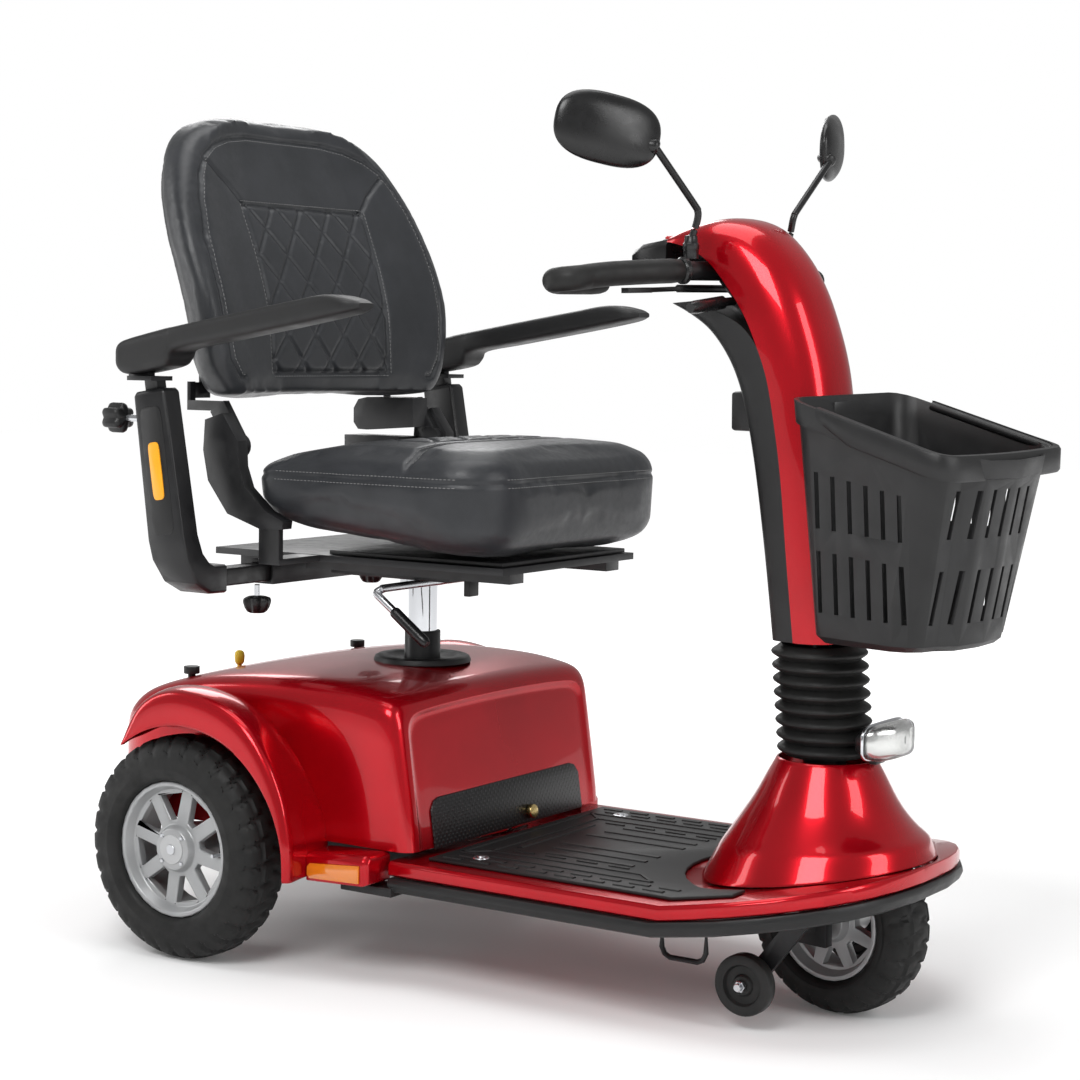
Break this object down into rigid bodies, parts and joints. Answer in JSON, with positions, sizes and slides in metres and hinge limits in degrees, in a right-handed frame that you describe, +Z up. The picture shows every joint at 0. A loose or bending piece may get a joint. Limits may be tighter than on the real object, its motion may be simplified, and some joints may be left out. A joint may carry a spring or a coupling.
{
  "type": "mobility scooter",
  "caption": "Three-wheeled mobility scooter with a swivelling cushioned seat, flip-up armrests, tilting tiller, front basket and flat foot deck.",
  "frame": {"origin": "centre of the bounding box at floor level", "axes": "+X forward (towards the front wheel), +Y to the rider's left, +Z up"},
  "size_m": [1.2028, 0.6704, 1.0682],
  "materials": {
    "red_paint": "gloss candy red",
    "black_plastic": "textured satin",
    "black_rubber": "matt",
    "tyre_rubber": "matt",
    "wheel_silver": "silver-grey satin",
    "black_steel": "black powder coat",
    "chrome": "polished",
    "leather": "charcoal leather with pale stitching",
    "board": "painted black",
    "pad_plastic": "fine grain",
    "amber": "translucent amber",
    "yellow_plastic": "gloss",
    "red_plastic": "gloss",
    "brass": "polished"
  },
  "bodies": {
    "chassis": {"frame": "black_steel", "deck_pan": "black_plastic", "deck_bumper": "black_plastic", "floor_mat": "black_rubber", "front_shroud": "red_paint", "rear_hood": "red_paint", "side_reflector_right": "amber", "side_reflector_left": "amber", "hood_knob_right": "black_plastic", "hood_knob_left": "black_plastic", "kick_panel": "black_plastic", "tray_latch": "brass", "transaxle": "black_steel", "battery_pack": "black_plastic", "seat_tube": "black_steel", "post_bezel": "black_plastic", "headlight": "chrome"},
    "rear_wheel_right": {"rear_tyre_right": "tyre_rubber", "rear_rim_right": "wheel_silver"},
    "rear_wheel_left": {"rear_tyre_left": "tyre_rubber", "rear_rim_left": "wheel_silver"},
    "steering": {"steering_bellows": "black_rubber", "front_fork": "black_steel"},
    "front_wheel": {"front_tyre": "tyre_rubber", "front_rim": "wheel_silver"},
    "tiller": {"tiller_column": "black_steel", "grip_right": "black_rubber", "grip_left": "black_rubber", "tiller_front_cover": "red_paint", "tiller_rear_cover": "black_plastic", "console": "black_plastic"},
    "horn_button": {"horn_button": "red_plastic"},
    "speed_dial": {"speed_dial": "black_plastic"},
    "throttle": {"throttle_lever": "black_plastic"},
    "tilt_lever": {"tilt_lever": "black_plastic"},
    "mirror_right": {"mirror_right": "black_plastic"},
    "mirror_left": {"mirror_left": "black_plastic"},
    "basket": {"basket": "black_plastic"},
    "freewheel_lever": {"freewheel_lever": "yellow_plastic"},
    "seat_post": {"seat_post": "chrome"},
    "seat_swivel": {"swivel_base": "black_steel"},
    "swivel_lever": {"swivel_lever": "black_steel"},
    "seat": {"seat_carriage": "black_steel", "seat_cushion": "leather", "cushion_board": "board"},
    "slide_lever": {"slide_lever": "black_plastic"},
    "backrest": {"backrest_pad": "leather", "backrest_frame": "black_plastic"},
    "arm_right": {"arm_upright_right": "black_steel"},
    "arm_post_right": {"arm_post_right": "black_steel"},
    "arm_pad_right": {"arm_pad_right": "pad_plastic"},
    "arm_height_knob_right": {"arm_height_knob_right": "pad_plastic"},
    "arm_width_knob_right": {"arm_width_knob_right": "pad_plastic"},
    "antitip_wheel_right": {"antitip_wheel_right": "black_rubber"},
    "arm_left": {"arm_upright_left": "black_steel"},
    "arm_post_left": {"arm_post_left": "black_steel"},
    "arm_pad_left": {"arm_pad_left": "pad_plastic"},
    "arm_height_knob_left": {"arm_height_knob_left": "pad_plastic"},
    "arm_width_knob_left": {"arm_width_knob_left": "pad_plastic"},
    "antitip_wheel_left": {"antitip_wheel_left": "black_rubber"}
  },
  "joints": [
    {"name": "steering_turn", "type": "hinge", "parent": "chassis", "child": "steering", "pos_m": [0.37655, 0, 0.11103], "axis": [-0.1564, 0, 0.9877], "range_deg": [-22, 38]},
    {"name": "front_wheel_spin", "type": "hinge", "parent": "steering", "child": "front_wheel", "pos_m": [0.37318, 0.00047, 0.11103], "axis": [0.1375, 0.9903, 0.0218], "continuous": true},
    {"name": "rear_wheel_right_spin", "type": "hinge", "parent": "chassis", "child": "rear_wheel_right", "pos_m": [-0.40145, -0.2685, 0.14023], "axis": [0, 1, 0], "continuous": true},
    {"name": "rear_wheel_left_spin", "type": "hinge", "parent": "chassis", "child": "rear_wheel_left", "pos_m": [-0.40145, 0.2685, 0.14023], "axis": [0, 1, 0], "continuous": true},
    {"name": "tiller_tilt", "type": "hinge", "parent": "steering", "child": "tiller", "pos_m": [0.33043, 0, 0.40223], "axis": [0.1375, 0.9903, 0.0218], "range_deg": [-14, 9]},
    {"name": "horn_press", "type": "slide", "parent": "tiller", "child": "horn_button", "axis": [0.0015, 0.0218, -0.9998], "range_m": [0, 0.0013], "stiffness_N_per_m": 300, "springref_m": -0.0005},
    {"name": "speed_dial_turn", "type": "hinge", "parent": "tiller", "child": "speed_dial", "pos_m": [0.08964, 0.02293, 0.87948], "axis": [0.9905, -0.1375, -0.0015], "range_deg": [-130, 130]},
    {"name": "throttle_swing", "type": "hinge", "parent": "tiller", "child": "throttle", "pos_m": [0.18527, 0.01046, 0.84284], "axis": [-0.0015, -0.0218, 0.9998], "range_deg": [-4, 4], "stiffness_Nm_per_rad": 0.25},
    {"name": "tilt_lever_pull", "type": "hinge", "parent": "tiller", "child": "tilt_lever", "pos_m": [0.22932, -0.03568, 0.8264], "axis": [0.1375, 0.9903, 0.0218], "range_deg": [0, 8], "stiffness_Nm_per_rad": 1, "springref_deg": -5.73},
    {"name": "mirror_right_turn", "type": "hinge", "parent": "tiller", "child": "mirror_right", "pos_m": [0.20577, -0.08952, 0.87471], "axis": [-0.0015, -0.0218, 0.9998], "range_deg": [-25, 25]},
    {"name": "mirror_left_turn", "type": "hinge", "parent": "tiller", "child": "mirror_left", "pos_m": [0.23203, 0.09962, 0.87886], "axis": [-0.0015, -0.0218, 0.9998], "range_deg": [-25, 25]},
    {"name": "basket_lift", "type": "slide", "parent": "tiller", "child": "basket", "axis": [-0.0015, -0.0218, 0.9998], "range_m": [0, 0.06]},
    {"name": "freewheel_lever_swing", "type": "hinge", "parent": "chassis", "child": "freewheel_lever", "pos_m": [-0.50645, -0.05, 0.21523], "axis": [0, 1, 0], "range_deg": [0, 10]},
    {"name": "seat_post_height", "type": "slide", "parent": "chassis", "child": "seat_post", "axis": [0, 0, 1], "range_m": [-0.03, 0.05]},
    {"name": "seat_swivel_turn", "type": "hinge", "parent": "seat_post", "child": "seat_swivel", "pos_m": [-0.23745, 0, 0.47473], "axis": [0, 0, 1], "range_deg": [-90, 90]},
    {"name": "swivel_lever_lift", "type": "hinge", "parent": "seat_swivel", "child": "swivel_lever", "pos_m": [-0.19445, 0, 0.46923], "axis": [0, 1, 0], "range_deg": [-3, 3], "stiffness_Nm_per_rad": 4},
    {"name": "seat_slide", "type": "slide", "parent": "seat_swivel", "child": "seat", "axis": [1, 0, 0], "range_m": [-0.03, 0.045]},
    {"name": "slide_lever_pull", "type": "hinge", "parent": "seat", "child": "slide_lever", "pos_m": [-0.09745, -0.09, 0.48273], "axis": [0, 1, 0], "range_deg": [-8, 8], "stiffness_Nm_per_rad": 1},
    {"name": "backrest_fold", "type": "hinge", "parent": "seat", "child": "backrest", "pos_m": [-0.37545, 0, 0.64123], "axis": [0, 1, 0], "range_deg": [-4, 60]},
    {"name": "arm_width_right", "type": "slide", "parent": "seat", "child": "arm_right", "axis": [0, -1, 0], "range_m": [0, 0.05]},
    {"name": "arm_height_right", "type": "slide", "parent": "arm_right", "child": "arm_post_right", "axis": [-0.1543, 0, 0.988], "range_m": [0, 0.05]},
    {"name": "arm_flip_right", "type": "hinge", "parent": "arm_post_right", "child": "arm_pad_right", "pos_m": [-0.44895, -0.309, 0.75023], "axis": [0, 1, 0], "range_deg": [-85, 0]},
    {"name": "arm_height_knob_turn_right", "type": "hinge", "parent": "arm_right", "child": "arm_height_knob_right", "pos_m": [-0.44811, -0.3005, 0.67523], "axis": [1, 0, 0], "continuous": true},
    {"name": "arm_width_knob_turn_right", "type": "hinge", "parent": "seat", "child": "arm_width_knob_right", "pos_m": [-0.39295, -0.148, 0.46113], "axis": [0, 0, 1], "continuous": true},
    {"name": "antitip_spin_right", "type": "hinge", "parent": "chassis", "child": "antitip_wheel_right", "pos_m": [0.32455, -0.1412, 0.05393], "axis": [0, 1, 0], "continuous": true},
    {"name": "arm_width_left", "type": "slide", "parent": "seat", "child": "arm_left", "axis": [0, 1, 0], "range_m": [0, 0.05]},
    {"name": "arm_height_left", "type": "slide", "parent": "arm_left", "child": "arm_post_left", "axis": [-0.1543, 0, 0.988], "range_m": [0, 0.05]},
    {"name": "arm_flip_left", "type": "hinge", "parent": "arm_post_left", "child": "arm_pad_left", "pos_m": [-0.44895, 0.309, 0.75023], "axis": [0, 1, 0], "range_deg": [-85, 0]},
    {"name": "arm_height_knob_turn_left", "type": "hinge", "parent": "arm_left", "child": "arm_height_knob_left", "pos_m": [-0.44811, 0.3005, 0.67523], "axis": [1, 0, 0], "continuous": true},
    {"name": "arm_width_knob_turn_left", "type": "hinge", "parent": "seat", "child": "arm_width_knob_left", "pos_m": [-0.43645, 0.148, 0.47463], "axis": [0, 0, 1], "continuous": true},
    {"name": "antitip_spin_left", "type": "hinge", "parent": "chassis", "child": "antitip_wheel_left", "pos_m": [0.32455, 0.1412, 0.05393], "axis": [0, 1, 0], "continuous": true}
  ]
}
